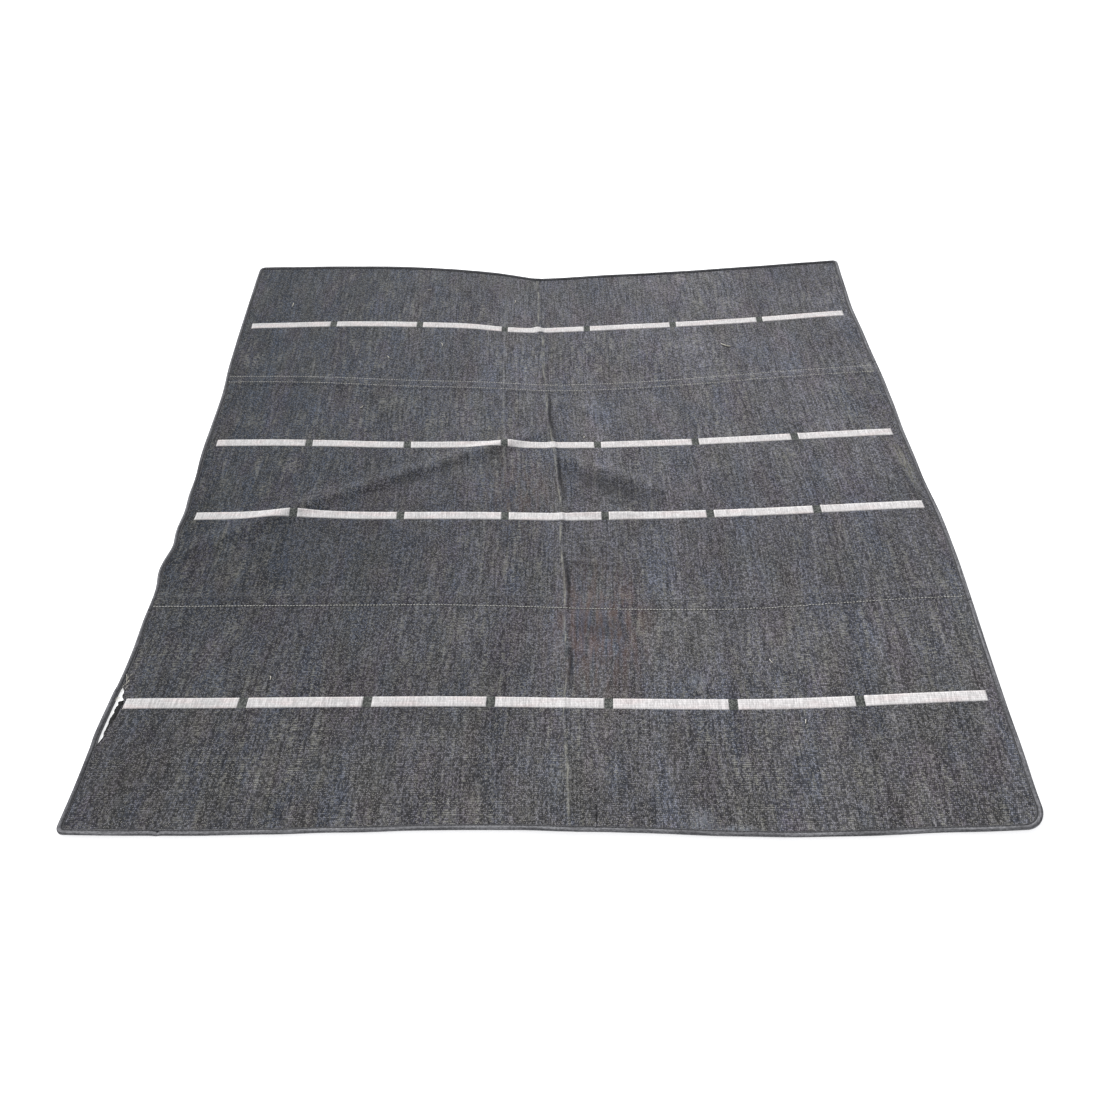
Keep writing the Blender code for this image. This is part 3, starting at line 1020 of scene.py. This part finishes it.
def on_binding(place, out, away, up):
    """A point of the tape: away from the cloth's edge and up, where the edge is lying."""
    bow = BOW_OUT * torn_share(place.y) if out.x < -0.9 else 0.0
    wander = 0.5 * MM * noise.noise(Vector((place.x * 9, place.y * 9, 2)))
    at = place + out * (away + bow + wander)
    return Vector((*pulled(at.x, at.y), max(lift(place.x, place.y) + up, 0.2 * MM)))


# %% Wrap the tape


def wrap(name, path):
    """One length of tape along a path."""
    path = without_doubles(path)
    around = len(SECTION)
    bm = grid(range(len(path)), range(around + 1))
    far = 0.0
    lengths = [0.0]
    for (a, _), (b, _) in zip(path, path[1:]):
        far += (b - a).length
        lengths.append(far)
    layer = bm.loops.layers.uv.new("flat")
    for face in bm.faces:
        for loop in face.loops:
            i, j = round(loop.vert.co.x), round(loop.vert.co.y)
            loop[layer].uv = (j * 2 * MM, lengths[i])
    for vert in bm.verts:
        i, j = round(vert.co.x), round(vert.co.y)
        place, out = path[i]
        away, up = SECTION[j % around]
        fuller = 1 + 0.05 * noise.noise(Vector((place.x * 30, place.y * 30, 5)))
        if place.y < FRONT + 1 * MM:
            fuller -= NOTCH_DEPTH * bump(place.x - NOTCH, NOTCH_REACH)
        vert.co = on_binding(place, out, away * MM, up * MM * fuller)
    bmesh.ops.remove_doubles(bm, verts=bm.verts, dist=0.01 * MM)
    ends = [edge for edge in bm.edges if edge.is_boundary]
    bmesh.ops.holes_fill(bm, edges=ends)
    bmesh.ops.recalc_face_normals(bm, faces=bm.faces)
    print(name, round(far, 2), "m,", len(bm.faces), "faces")
    return piece(name, bm, [tape])


def edge_stitches(name, path):
    """Dark stitches in the groove beside the roll, except where the tape has come away."""
    bm = bmesh.new()
    for place, out in without_doubles(path):
        if torn_share(place.y) > 0.05 and out.x < -0.9:
            continue
        here = on_binding(place, out, *GROOVE)
        forward = Vector((-out.y, out.x)) * MM
        ahead = on_binding(place + forward, out, *GROOVE)
        stitch(bm, here, ahead - here, EDGE_STITCH)
    return piece(name, bm, [dark_thread])


FRONT_JOIN = FRONT_LAP[0] - 12 * MM  # where one length of tape ends and the next begins, beside the seam
BACK_JOIN = BACK_LAP[1] + 8 * MM
half = math.pi / 2
front_corners = [(*CORNERS[0], 2 * half), (*CORNERS[1], 3 * half)]
back_corners = [(*CORNERS[2], 0), (*CORNERS[3], half)]
front_path = edge_path((LEFT, FRONT_JOIN), front_corners, (RIGHT, FRONT_JOIN))
back_path = edge_path((RIGHT, BACK_JOIN), back_corners, (LEFT, BACK_JOIN))
left_path = straight(Vector((LEFT, BACK_JOIN)), Vector((LEFT, FRONT_JOIN)), Vector((-1, 0)))
right_path = straight(Vector((RIGHT, FRONT_JOIN)), Vector((RIGHT, BACK_JOIN)), Vector((1, 0)))


def stays(made):
    """The piece rides on the middle."""
    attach(made, "middle")


TAPES = [
    ("front", front_path, bends_at_front),
    ("back", back_path, bends_at_back),
    ("left", left_path, stays),
    ("right", right_path, stays),
]
for side, path, settle in TAPES:
    rolled = wrap(f"{side}_rolled_tape", path)
    sewn = edge_stitches(f"{side}_edge_stitches", path)
    settle(rolled)
    settle(sewn)
    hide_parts(f"{side}_binding")
    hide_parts(f"{side}_binding_stitching")

# %% [markdown]
# Where the edge is torn, a ragged black strip beside the frayed cloth is a painted shadow, the deep shade
# under its edge; a few threads cross the gap, and loose pale yarns stick out of the frayed cloth above it.
# The strip is a narrow grid with a wandering outer side. A thread is a thin tube, drawn out from a circle of
# a few sides along a curve. Lint is the same, lying here and there on the cloth.

# %% The torn stretch


def black_shadow_strip():
    """A ragged black strip along the frayed edge of the cloth: a painted shadow of that edge."""
    vs = stops(TORN[0] + 4 * MM, TORN[1] - 6 * MM, [], 3 * MM)
    bm = grid([0, 0.5, 1], vs)
    for vert in bm.verts:
        share, v = vert.co.xy
        inner = fray_back(LEFT, v) + 2 * MM
        ragged = 0.6 + 0.5 * noise.noise(Vector((v * 160, 8, 0)))
        grown = smooth((v - vs[0]) / 0.02) * smooth((BRIDGE - v) / 0.004)
        wide = 4.0 + 7.5 * (0.7 + 0.5 * ragged) * smooth((v + 0.785) / 0.07)
        u = inner - wide * MM * grown * share
        vert.co = (u, v, 0)
    lay(bm, lambda vert: (2.2 if vert.co.x > fray_back(LEFT, vert.co.y) else 1.4) * MM)
    return thicken(piece("torn_edge_painted_shadow", bm, [shadow_black]), 1.0 * MM)


def yarn(bm, points, radius):
    """Adds a thin tube along points. Its first end is left open."""
    turned = (points[1] - points[0]).to_track_quat("Z", "Y").to_matrix()
    ring = bmesh.ops.create_circle(bm, cap_ends=True, segments=5, radius=radius)["verts"]
    bmesh.ops.rotate(bm, verts=ring, matrix=turned)
    bmesh.ops.translate(bm, verts=ring, vec=points[0])
    top = ring[0].link_faces[0]
    for point in points[1:]:
        top = bmesh.ops.extrude_discrete_faces(bm, faces=[top])["faces"][0]
        bmesh.ops.translate(bm, verts=top.verts, vec=point - top.calc_center_median())


def close_yarns(bm):
    """Closes the open ends, and turns the faces outwards."""
    bmesh.ops.holes_fill(bm, edges=[edge for edge in bm.edges if edge.is_boundary])
    bmesh.ops.recalc_face_normals(bm, faces=bm.faces)


rng = random.Random(7)
YARN_STEPS = 6


def loose_yarn(bm, u, v, length, heading, height, radius):
    """A bit of yarn or lint lying on the cloth, curling as it goes."""
    curl = rng.uniform(-1.4, 1.4)
    points = []
    for i in range(YARN_STEPS + 1):
        share = i / YARN_STEPS
        angle = heading + curl * (share - 0.5)
        u += math.cos(angle) * length / YARN_STEPS
        v += math.sin(angle) * length / YARN_STEPS
        points.append(lie(u, v, height + radius * (1 + 1.2 * math.sin(math.pi * share))))
    yarn(bm, points, radius)


def front_loose_yarns():
    """Frayed yarns at the tear, threads across the gap, and lint on the front cloth."""
    bm = bmesh.new()
    for i in range(9):
        v = -0.672 + 0.005 * i
        u = LEFT + rng.uniform(4, 16) * MM
        length = rng.uniform(8, 16) * MM
        loose_yarn(bm, u, v, length, rng.uniform(1.2, 2.6), CLOTH, 0.45 * MM)
    for v in (BRIDGE - 2 * MM, BRIDGE, BRIDGE + 2 * MM):
        loose_yarn(bm, LEFT - 4 * MM, v, 14 * MM, 0.2, CLOTH * 0.8, 0.5 * MM)
    for u, v in ((0.57, -0.75), (0.52, -0.60), (-0.65, -0.645)):
        loose_yarn(bm, u, v, rng.uniform(7, 14) * MM, rng.uniform(0, 3.1), CLOTH, 0.9 * MM)
    close_yarns(bm)
    return piece("front_loose_yarns", bm, [lint_yarn])


def lint(name, places, long_one=None):
    """Bits of lint at places on the flat cloth, after a long one if there is one."""
    bm = bmesh.new()
    if long_one:
        loose_yarn(bm, *long_one, 34 * MM, math.radians(154), CLOTH, 1.6 * MM)
    for u, v in places:
        loose_yarn(bm, u, v, rng.uniform(7, 20) * MM, rng.uniform(0, 3.1), CLOTH, 1.1 * MM)
    close_yarns(bm)
    print(name, "open edges:", sum(edge.is_boundary for edge in bm.edges))
    return piece(name, bm, [lint_yarn])


under_edge_shadow = black_shadow_strip()
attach(under_edge_shadow, "front")
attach(front_loose_yarns(), "front")
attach(lint("middle_lint", [(-0.57, 0.28), (0.10, 0.155)]), "middle")
back_places = [(-0.41, 0.86), (-0.34, 0.57), (-0.50, 0.51), (-0.11, 0.82), (-0.85, 0.77)]
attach(lint("back_lint", back_places, (0.592, 0.549)), "back")

# %% [markdown]
# The floor is a plain white one that glows a little, as a light table does, so that almost no shadow shows
# round the blanket. The light is soft, as under a bright overcast sky: a white surround, and a wide, soft
# sun from behind on the left, low enough to draw out the ridges.

# %% Floor and light


def white_floor():
    made, tree, shader = new_material("matt_white_paint")
    place = node(tree, "TexCoord").outputs["Object"]
    grain = node(tree, "TexNoise", {"Vector": place, "Scale": 300.0, "Detail": 3.0})
    raised = node(tree, "Bump", {"Strength": 0.05, "Distance": 0.2 * MM, "Height": grain})
    finish_material(tree, shader, colour("#fafafa"), raised, roughness=0.9, specular=0.1)
    feed(tree, shader, {"Emission Color": colour("#ffffff"), "Emission Strength": 0.6})
    return made


floor_mesh = grid([-60, 60], [-60, 60])
floor_data = bpy.data.meshes.new("floor")
floor_mesh.to_mesh(floor_data)
floor_mesh.free()
floor_data.materials.append(white_floor())
floor = bpy.data.objects.new("floor", floor_data)
bpy.context.collection.objects.link(floor)

world = bpy.data.worlds.new("overcast")
world.use_nodes = True
surround = world.node_tree.nodes["Background"]
surround.inputs["Color"].default_value = colour("#fafbff")
surround.inputs["Strength"].default_value = 0.5
bpy.context.scene.world = world

sun_data = bpy.data.lights.new("soft_sun", "SUN")
sun_data.energy = 3.8
sun_data.angle = math.radians(18)
sun = bpy.data.objects.new("soft_sun", sun_data)
sun.rotation_euler = Vector((0.46, -0.70, -0.54)).to_track_quat("-Z", "Y").to_euler()
bpy.context.collection.objects.link(sun)
bpy.context.scene.view_settings.view_transform = "Standard"
print("lit")
